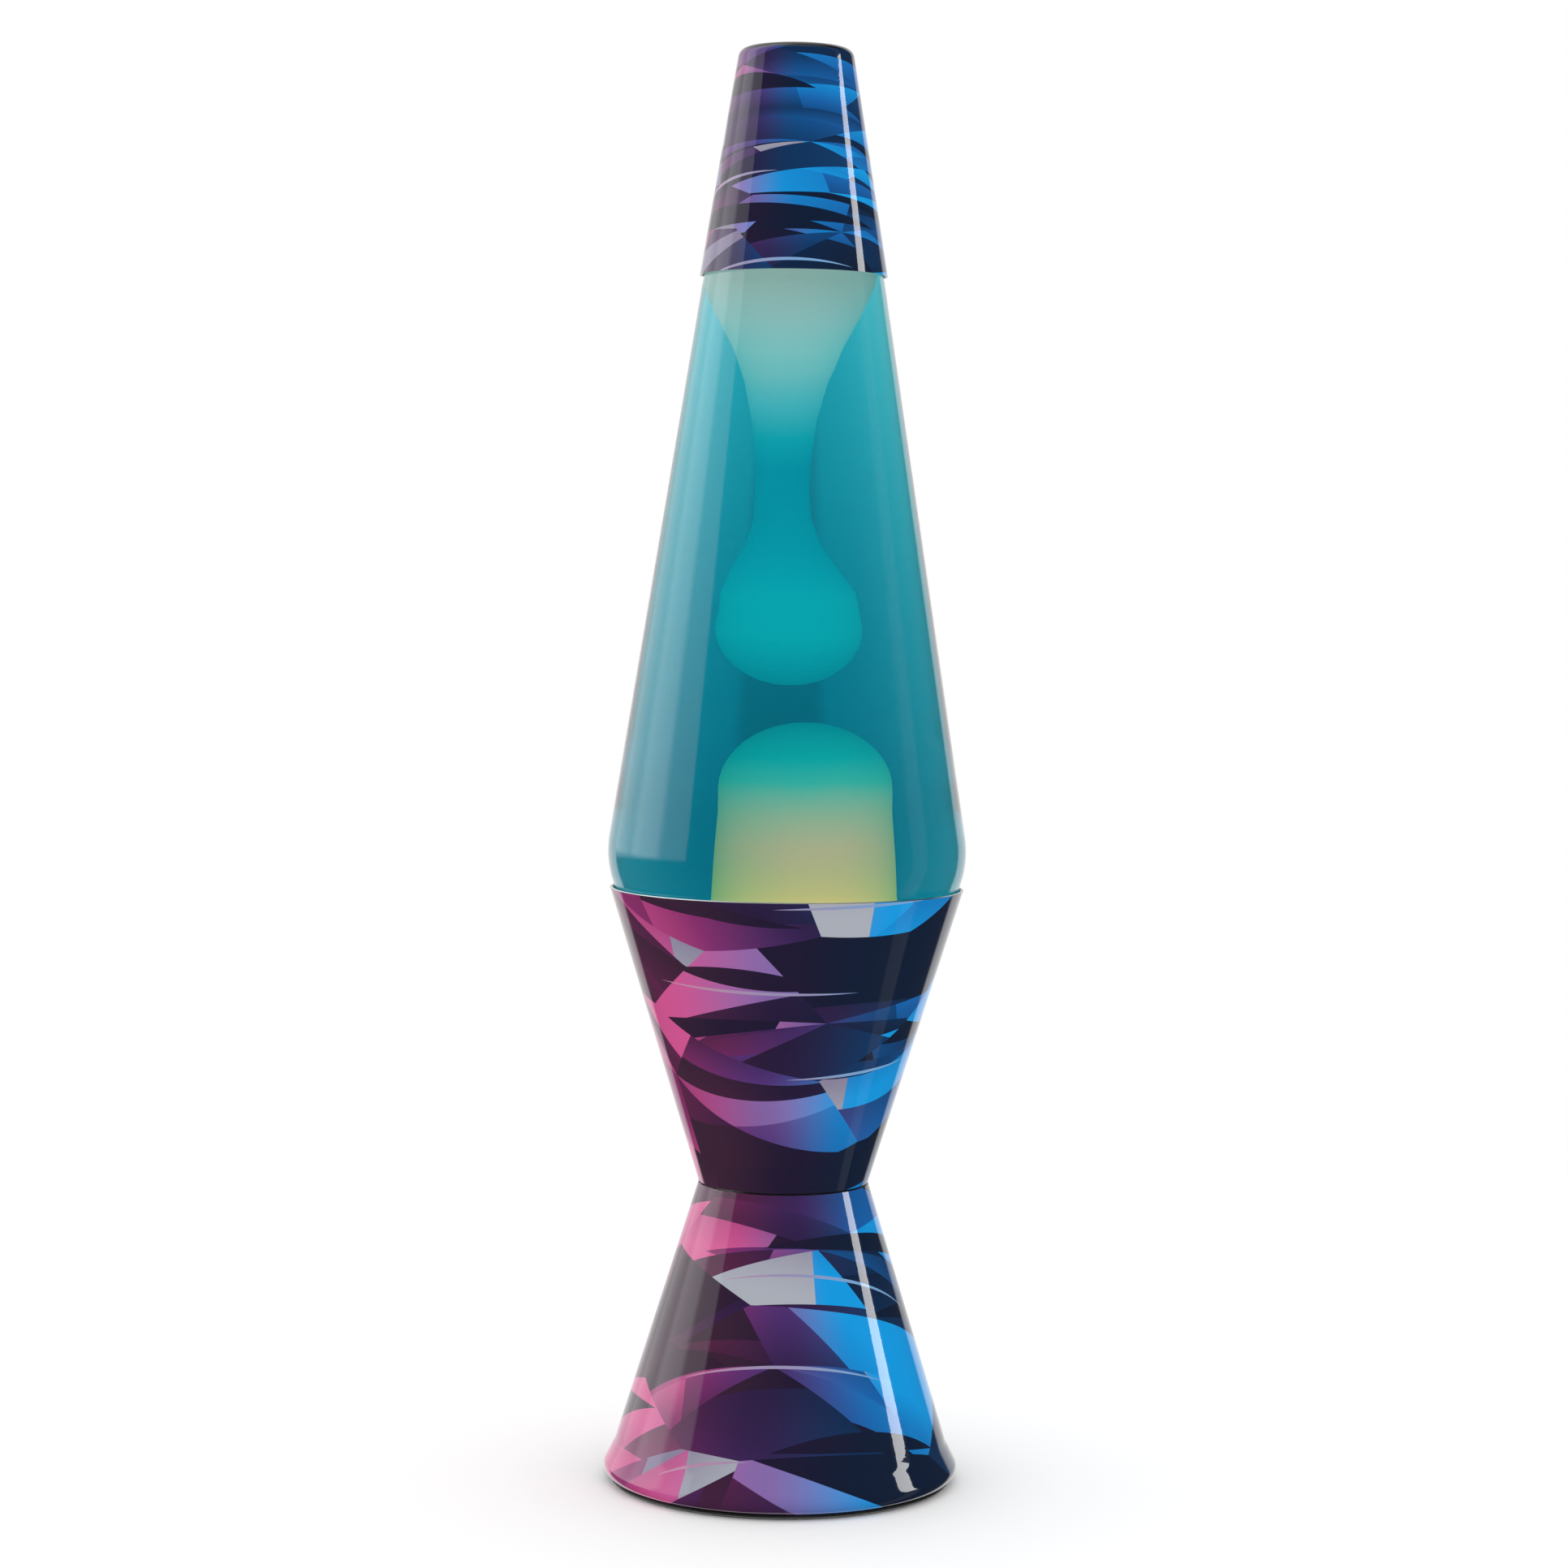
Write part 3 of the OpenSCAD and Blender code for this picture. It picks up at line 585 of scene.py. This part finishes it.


def metal(name, colour, roughness, brushed=0.0, grain=900.0, spread=0.12):
    """Metal with uneven polish. brushed stretches its grain round Z, as spinning does."""
    s = Shader(name)
    if brushed:
        angle, radius, z = s.round_axis()
        where = s.join(s.scaled(angle, 0.01), s.total(radius, s.scaled(z, 1.7)))
    else:
        where = s.here()
    fine_grain = s.noise(where, grain, 4.0, 0.6)
    cloud = s.noise(s.here(), 60.0, 3.0)
    duller = tuple(0.72 * c for c in colour)
    s.set(Base_Color=s.mix(s.between(cloud, 0.3, 0.7), duller, colour), Metallic=1.0,
          Roughness=s.total(s.scaled(fine_grain, spread, roughness), s.scaled(cloud, 0.10, -0.05)))
    s.bump(fine_grain, 0.02 * MM, 0.3 + brushed)
    return s.material


def moulded(name, colour, roughness, grain=1400.0, depth=0.03, mottle=0.25, mottle_scale=90.0):
    """Moulded plastic or rubber: a fine grain, depth mm deep, and cloudy colour."""
    s = Shader(name)
    cloud = s.noise(s.here(), mottle_scale, 4.0, 0.6)
    lighter = tuple(c * (1 + 2 * mottle) + 0.004 * mottle for c in colour)
    fine_grain = s.noise(s.here(), grain, 2.0)
    s.set(Base_Color=s.mix(s.between(cloud, 0.35, 0.75), colour, lighter),
          Roughness=s.total(s.scaled(fine_grain, 0.14, roughness - 0.07),
                            s.scaled(cloud, 0.08, -0.04)))
    s.bump(fine_grain, depth * MM, 0.5)
    return s.material


def glass(name, ior, tint=(1.0, 1.0, 1.0), ripple=0.0, ripple_scale=35.0, wet=False):
    """The shader of clear glass. ripple is the depth in mm of its moulded waves. A wet face,
    where glass and liquid meet, hardly mirrors."""
    s = Shader(name)
    s.set(Base_Color=tint, Roughness=0.0, IOR=ior, Transmission_Weight=1.0)
    if wet:
        s.set(Specular_Tint=(0.0, 0.0, 0.0))
    if ripple:
        s.bump(s.noise(s.here(), ripple_scale, 1.0), ripple * MM, 1.0)
    return s


def coloured_liquid(name, per_mm):
    """Water that takes up light by the given share of each colour, per millimetre."""
    s = glass(name, WATER_IOR, wet=True)
    # a little denser than the strongest share needs, so that no colour of the volume is 0
    density = max(per_mm) * 1.05
    absorb = s.node("VolumeAbsorption")
    s.put(absorb.inputs["Color"], tuple(1 - share / density for share in per_mm))
    s.put(absorb.inputs["Density"], density / MM)
    s.put(s.output.inputs["Volume"], absorb.outputs[0])
    return s.material


def wax_with_painted_glow(name, stops):
    """Wax with a glow painted in by height, standing in for the bulb's light from below, for
    pieces with kept places. stops are (height in metres, painted glow it gives)."""
    s = Shader(name)
    at_rest = s.node("Attribute", attribute_name="at_rest").outputs["Vector"]
    _, _, z = s.split(at_rest)
    low_z, high_z = stops[0][0], stops[-1][0]
    cloud = s.noise(at_rest, 55.0, 3.0)
    height = s.total(z, s.scaled(cloud, WAX_CLOUD, -WAX_CLOUD / 2))
    place = s.between(height, low_z, high_z, smooth=False)
    # a ramp holds colours up to 1, so the painted glow is kept as shares of its strongest
    most = max(max(light) for _, light in stops)
    light = s.ramp(place, [((at - low_z) / (high_z - low_z), tuple(c / most for c in colour))
                           for at, colour in stops])
    # the emission is painted light: the bulb's light from below, painted into the wax; the base
    # colour is the wax's own
    s.set(Base_Color=s.mix(cloud, (0.07, 0.08, 0.05), (0.10, 0.11, 0.07)), Roughness=0.35,
          Specular_IOR_Level=0.0, Emission_Color=light, Emission_Strength=most)
    s.material.cycles.emission_sampling = "NONE"
    s.bump(s.noise(at_rest, 90.0, 2.0), 0.10 * MM, 0.6)
    return s.material


def hot_metal(name):
    """Dull metal that glows yellow."""
    s = Shader(name)
    grain = s.noise(s.here(), 4000.0)
    s.set(Base_Color=s.mix(grain, (0.2, 0.19, 0.18), (0.35, 0.33, 0.3)), Metallic=1.0,
          Roughness=0.5, Emission_Color=(1.0, 0.62, 0.28), Emission_Strength=12.0)
    s.material.cycles.emission_sampling = "NONE"
    return s.material


# --- Films and their cones --------------------------------------------------------------

EDGE = 3 * MM               # a film's rolled or rounded edges are within this
DRILL_REACH = 6 * MM        # to each side of the grommet's middle
FLANGE_GAP = 0.3 * MM       # between the grommet's flange and the film round it
NECK_HOLE_R = 4.65 * MM     # in the metal, for the grommet's neck


def straight_side(node, z0, z1):
    """Two points up a turned node's side, as (radius, height)."""
    points = outlines(node)[0]
    return (side_at(points, z0), z0), (side_at(points, z1), z1)


cup_side = straight_side("upper_cone_film", low("upper_cone_film") + EDGE,
                         high("upper_cone_film") - EDGE)
skirt_side = straight_side("lower_cone_film", low("lower_cone_film") + 4 * EDGE,
                           high("lower_cone_film") - EDGE)
cap_side = straight_side("cap_film", low("cap_film") + EDGE, high("cap_film") - 2 * EDGE)

(skirt_low_r, skirt_low_z), (skirt_high_r, skirt_high_z) = skirt_side
skirt_slope = (skirt_high_r - skirt_low_r) / (skirt_high_z - skirt_low_z)
through_skirt = Vector((0, 1, -skirt_slope)).normalized() * DRILL_REACH
grommet_points = points_of("cord_grommet")
grommet_middle = sum(grommet_points, Vector()) / len(grommet_points)
flange_r = max(point.x for point in grommet_points)


def cone(name, node, material, hole_r=None):
    """A turned cone or film in the place of a CAD node. hole_r makes a hole for the cord."""
    piece = turned(name, fine(outlines(node)[0]), segments=360)
    if hole_r:
        piece = drilled(piece, grommet_middle - through_skirt, grommet_middle + through_skirt,
                        hole_r)
    return stands_for(piece, material, node)


spun = metal("spun_aluminium", (0.78, 0.79, 0.80), 0.30, brushed=0.5)
cone("print_cup", "upper_cone_film", print_film("print_cup", cup_side, 31.9, 86 * MM, 30 * MM))
skirt_film = cone("print_skirt", "lower_cone_film",
                  print_film("print_skirt", skirt_side, 17.2, 80 * MM, 32 * MM),
                  hole_r=flange_r + FLANGE_GAP)
cap_film = cone("print_cap", "cap_film",
                print_film("print_cap", cap_side, 5.2, 84 * MM, 15 * MM, blue=0.30, glow=0.08,
                           edge=high("cap_film") - 1.2 * MM))
cone("cup_shell", "upper_cone", spun)
cone("cap_shell", "cap", spun)
cone("skirt_shell", "lower_cone", spun, hole_r=NECK_HOLE_R)


# --- Globe and liquid ---------------------------------------------------------------------

GLASS_IOR = 1.5
GLASS_TINT = (0.985, 0.995, 0.99)
GLASS_RIPPLE = 0.02         # mm
SEEP = 0.05 * MM            # how far the liquid reaches into the glass, so that no gap shows
FLOOR_R = 20 * MM           # within this radius the globe's wall is its floor
FLOOR_START = 3 * MM        # heights above the globe's foot between which its floor lies
FLOOR_END = 12 * MM
LEVEL = 0.7                 # a face whose normal points up by more than this is part of it
LIQUID_PER_MM = (0.092, 0.0225, 0.0175)


def eased(t):
    """Goes from 0 to 1 with a soft start and end, and stays there."""
    t = min(1.0, max(0.0, t))
    return t * t * (3 - 2 * t)


def inner_wall(points):
    """The part of the globe's outline that its contents touch, from the middle of its floor up."""
    top = max(range(len(points)), key=lambda i: points[i].y)
    return upward(points[top:] if area_of(points) > 0 else points[:top + 1])


globe_outline = outlines("globe_glass")[0]
globe = stands_for(turned("globe_glass", fine(globe_outline), segments=360),
                   glass("globe_glass", GLASS_IOR, GLASS_TINT, GLASS_RIPPLE).material,
                   "globe_glass")
globe.data.materials.append(
    glass("globe_glass_wet", GLASS_IOR, GLASS_TINT, GLASS_RIPPLE, wet=True).material)

fill_z = high("liquid")
foot_z = low("globe_glass")
for face in globe.data.polygons:
    x, y, z = face.center
    faces_axis = face.normal.x * x + face.normal.y * y < 0
    is_floor = face.normal.z > LEVEL and z < foot_z + FLOOR_END
    is_inside = faces_axis or is_floor
    face.material_index = int(is_inside and foot_z + FLOOR_START < z < fill_z)

wall = inner_wall(globe_outline)
wetted = [p + Vector((SEEP if p.x > ON_AXIS else 0, -SEEP if p.x < FLOOR_R else 0))
          for p in wall if p.y < fill_z - MM]
surface = [Vector((side_at(wall, fill_z) + SEEP, fill_z)), Vector((0, fill_z))]
stands_for(turned("liquid", fine(wetted + surface), segments=360),
           coloured_liquid("coloured_liquid", LIQUID_PER_MM), "liquid")


# --- Wax ----------------------------------------------------------------------------------

# (height in metres, glow painted into the wax in place of the bulb's light from below). Red is
#  strong low down, because the liquid in front of the wax takes most of it away.
WAX_PAINTED_GLOW = [
    (0.112, (0.95, 0.66, 0.27)), (0.122, (1.1, 0.70, 0.28)), (0.134, (1.9, 0.78, 0.30)),
    (0.146, (4.0, 0.92, 0.33)), (0.1515, (5.4, 0.97, 0.333)), (0.1556, (4.54, 0.852, 0.307)),
    (0.164, (4.3, 0.742, 0.389)), (0.172, (2.56, 0.744, 0.433)), (0.1806, (0.33, 0.707, 0.52)),
    (0.1868, (0.02, 0.624, 0.556)), (0.200, (0.0, 0.47, 0.50)), (0.2097, (0.0, 0.505, 0.545)),
    (0.218, (0.0, 0.58, 0.60)), (0.226, (0.0, 0.59, 0.615)), (0.2346, (0.0, 0.533, 0.595)),
    (0.2595, (0.0, 0.457, 0.543)), (0.268, (0.02, 0.547, 0.60)), (0.276, (0.30, 0.648, 0.67)),
    (0.2845, (0.61, 0.69, 0.655)), (0.2907, (0.65, 0.69, 0.646)), (0.297, (0.572, 0.605, 0.567)),
    (0.308, (0.336, 0.43, 0.395)), (0.332, (0.30, 0.39, 0.36))]

# (height in metres, how many mm the middle of the hanging wax is off its axis there)
LEANS = [(0.200, 1.3), (0.224, 1.0), (0.240, -0.3), (0.256, -0.6), (0.272, -0.3), (0.290, 0.2),
         (0.340, 0.3)]

POOL_TOP = 121 * MM
POOL_GAP = Vector((-0.12 * MM, 0.15 * MM))      # from the glass to the pool
COLUMN_BEND = 16 * MM       # height over which the column gets to its own axis
COLUMN_SIDE = [             # (radius, height) in mm
    (25.8, 124.5), (23.2, 126.5), (20.9, 131.5), (19.3, 140), (18.2, 151), (17.6, 161),
    (16.9, 172)]
DOME_R = 16.9 * MM
DOME_Z = 178 * MM
DOME_RISE = 17.3 * MM
DOME_PARTS = 10

column_x = max(points_of("wax_column"), key=lambda co: co.z).x
hanging_x = sum(corner.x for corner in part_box("wax_hanging")) / 2


def hanging_line(height):
    """The middle of the hanging wax at a height."""
    lean = LEANS[0][1]
    for (z0, lean0), (z1, lean1) in zip(LEANS, LEANS[1:]):
        lean += (lean1 - lean0) * eased((height - z0) / (z1 - z0))
    return hanging_x + lean * MM


def column_line(height):
    """The middle of the wax column at a height: its pool is round the globe's axis."""
    return column_x * eased((height - POOL_TOP) / COLUMN_BEND)


# the wax's glow is painted light, standing in for the bulb lighting it from below
wax = wax_with_painted_glow("wax", WAX_PAINTED_GLOW)

neck_low = high("wax_drop")
neck_high = low("wax_hanging")
drop = [p for p in upward(outlines("wax_drop", hanging_x)[0]) if p.y < neck_low - MM]
mass = [p for p in upward(outlines("wax_hanging", hanging_x)[0]) if p.y > neck_high + MM]
hanging = keep_places(turned("hanging_wax", fine(drop + mass), segments=192,
                             axis_x=hanging_line))
hanging.data.materials.append(wax)
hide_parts("wax_hanging", "wax_drop")
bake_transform(hanging)

pool = [p + Vector((POOL_GAP.x if p.x > ON_AXIS else 0, POOL_GAP.y)) for p in wall
        if p.y < POOL_TOP]
column = [Vector(corner) * MM for corner in COLUMN_SIDE]
for part in range(DOME_PARTS):
    angle = part / DOME_PARTS * TURN / 4
    column.append(Vector((DOME_R * math.cos(angle), DOME_Z + DOME_RISE * math.sin(angle))))
column.append(Vector((0, DOME_Z + DOME_RISE)))
stands_for(keep_places(turned("wax_column", fine(pool + column), segments=192,
                              axis_x=column_line)), wax, "wax_column")


# --- Bulb, lampholder and underside ---------------------------------------------------------

plated = metal("plated_steel", (0.62, 0.62, 0.61), 0.32)
dark_steel = metal("dark_steel", (0.20, 0.20, 0.21), 0.38)
brass = metal("brass", (0.80, 0.56, 0.22), 0.28)
tinplate = metal("tinplate", (0.72, 0.73, 0.74), 0.24, grain=500.0)
base_metal = metal("bulb_base_metal", (0.70, 0.70, 0.70), 0.34)
solder = metal("solder", (0.45, 0.45, 0.46), 0.42, grain=1500.0, spread=0.2)
tungsten = hot_metal("tungsten")
black_plastic = moulded("black_plastic", (0.012, 0.012, 0.013), 0.45)
rubber = moulded("soft_rubber", (0.016, 0.016, 0.017), 0.72, grain=2200.0, depth=0.05)
phenolic = moulded("phenolic", (0.060, 0.028, 0.014), 0.30, mottle=0.5, mottle_scale=260.0,
                   depth=0.01)
liner = moulded("liner", (0.62, 0.60, 0.55), 0.60)
black_glass = moulded("black_glass", (0.010, 0.010, 0.014), 0.12, depth=0.004)
stem_glass = glass("stem_glass", GLASS_IOR, ripple=0.01, ripple_scale=200.0).material

dress(plated, "waist_eyelet", "cover_tabs", "socket_bracket", "bulb_wires", "heat_coil")
dress(dark_steel, "cover_screws", "bracket_screws", "socket_screws")
dress(brass, "socket_shell", "centre_contact", "contact_rivet", "terminal_screws")
dress(base_metal, "bulb_shell")
dress(solder, "bulb_contact")
dress(tinplate, "crown_cap")
dress(tungsten, "bulb_filament")
dress(black_plastic, "bottom_cover")
dress(rubber, "rubber_feet", "cord_grommet")
dress(phenolic, "socket_body")
dress(liner, "bottle_seal")
dress(black_glass, "bulb_insulator")
dress(stem_glass, "bulb_stem")
outside, hollow = outlines("bulb_glass")
stands_for(turned("bulb_glass", fine(outside), segments=192, hollow=fine(hollow)),
           glass("bulb_envelope", 1.47, ripple=0.01).material, "bulb_glass")


# --- Studio -----------------------------------------------------------------------------------

WHITE = (1.0, 1.0, 1.0)
AMBIENT = (1.16, 1.16, 1.16)
ROOM = 0.05                 # level of the dim room that glossy surfaces mirror
FAINT = 0.045               # and of what stands out in it
STRIP = 0.22
OVERHEAD = 0.6

# Degrees round from the front, growing to the right, over which each light comes or goes
LEFT_STARTS = (-66, -69)
LEFT_BRIGHTENS = (-86, -94)
LEFT_DIMS = (-112, -122)
FAINT_RISES = (28, 88)
STRIP_STARTS = (86, 89)
STRIP_ENDS = (103, 100)
BACKDROP_STARTS = (141, 146)
# and degrees up
LEFT_FOOT = (-7, -2)
OVERHEAD_STARTS = (50, 75)
# Degrees round from straight behind, for a cooler band that is seen through the liquid
BAND_STARTS = (-7, -4)
BAND_ENDS = (10, 7)
BAND_COLOUR = (1.0, 0.8, 0.8)


def studio():
    """White surroundings. Glossy surfaces mirror a dim room with a large soft light at the left,
    a narrow one at the right, and the white backdrop round the edges."""
    world = bpy.data.worlds.new("studio")
    bpy.context.scene.world = world
    world.use_nodes = True
    world.cycles.sampling_method = "NONE"
    w = Nodes(world.node_tree)
    degrees = 360 / TURN
    x, y, z = w.split(w.node("TexCoord").outputs["Generated"])
    azimuth = w.scaled(w.math("ARCTAN2", x, w.scaled(y, -1.0)), degrees)
    elevation = w.scaled(w.math("ARCSINE", z), degrees)

    left_level = w.total(w.between(azimuth, *LEFT_BRIGHTENS, 1.0, 2.2),
                         w.between(azimuth, *LEFT_DIMS, 0.0, -0.9))
    left = w.product(w.between(azimuth, *LEFT_STARTS), w.between(elevation, *LEFT_FOOT),
                     left_level)
    faint = w.product(w.between(azimuth, *FAINT_RISES, 0.0, FAINT, smooth=False),
                      w.math("LESS_THAN", azimuth, float(FAINT_RISES[1])))
    strip = w.product(w.between(azimuth, *STRIP_STARTS), w.between(azimuth, *STRIP_ENDS), STRIP)
    overhead = w.between(elevation, *OVERHEAD_STARTS, 0.0, OVERHEAD)
    room = w.total(ROOM, left, faint, strip, overhead)
    backdrop = w.between(w.math("ABSOLUTE", azimuth), *BACKDROP_STARTS)
    mirrored = w.mix(backdrop, w.join(room, room, room), WHITE)

    off_back = w.scaled(w.math("ARCTAN2", x, y), degrees)
    band = w.product(w.between(off_back, *BAND_STARTS), w.between(off_back, *BAND_ENDS))
    seen_through = w.mix(band, WHITE, BAND_COLOUR)

    path = w.node("LightPath")
    colour = w.mix(path.outputs["Is Glossy Ray"], AMBIENT, mirrored)
    colour = w.mix(path.outputs["Is Transmission Ray"], colour, seen_through)
    colour = w.mix(path.outputs["Is Camera Ray"], colour, WHITE)
    w.put(world.node_tree.nodes["Background"].inputs["Color"], colour)


def narrow_light(*lit):
    """A tall, narrow soft light at the right, which only the given films mirror."""
    data = bpy.data.lights.new("narrow_light", "AREA")
    data.shape = "RECTANGLE"
    data.size = 0.32
    data.size_y = 0.70
    data.energy = 5.5
    light = bpy.data.objects.new("narrow_light", data)
    light.location = Vector((1.6, 0.10, 0.60))
    light.rotation_mode = "QUATERNION"
    light.rotation_quaternion = (Vector((0, 0, 0.2)) - light.location).to_track_quat("-Z", "Y")
    for seen_by in ("camera", "diffuse", "transmission", "volume_scatter"):
        setattr(light, "visible_" + seen_by, False)
    bpy.context.scene.collection.objects.link(light)
    films = bpy.data.collections.new("films")
    for piece in lit:
        films.objects.link(piece)
    light.light_linking.receiver_collection = films


def floor():
    """A pale disc that fades out into the white backdrop, and isn't mirrored in the lamp."""
    solid_r = 0.3
    outer_r = 0.7
    depth = 2 * MM
    s = Shader("floor")
    _, radius, _ = s.round_axis()
    speckle = s.noise(s.here(), 300.0, 2.0)
    s.set(Base_Color=s.mix(speckle, (0.955, 0.955, 0.955), (0.97, 0.97, 0.97)), Roughness=0.9,
          Specular_IOR_Level=0.1)
    fade = s.node("MixShader")
    s.put(fade.inputs[0], s.between(radius, solid_r, outer_r))
    s.put(fade.inputs[1], s.bsdf.outputs[0])
    s.put(fade.inputs[2], s.node("BsdfTransparent").outputs[0])
    s.put(s.output.inputs["Surface"], fade.outputs[0])
    section = ((0, -depth), (outer_r, -depth), (outer_r, 0), (0, 0))
    disc = turned("floor", [Vector(corner) for corner in section], segments=128)
    disc.data.materials.append(s.material)
    disc.visible_glossy = False


def camera():
    """Looks a little down at the lamp from the front, and leans a little."""
    eye = Vector((-MM, -0.928, 0.2354))
    aim = Vector((-MM, 0, 0.1806))
    roll = Quaternion((0, 0, 1), 0.0117)
    data = bpy.data.cameras.new("camera")
    data.lens = 82.9
    data.sensor_width = 36
    data.clip_start = 0.05
    data.clip_end = 20
    cam = bpy.data.objects.new("camera", data)
    cam.location = eye
    cam.rotation_mode = "QUATERNION"
    cam.rotation_quaternion = (aim - eye).to_track_quat("-Z", "Y") @ roll
    bpy.context.scene.collection.objects.link(cam)
    bpy.context.scene.camera = cam


studio()
narrow_light(skirt_film, cap_film)
floor()
camera()
bpy.context.scene.view_settings.view_transform = "Standard"
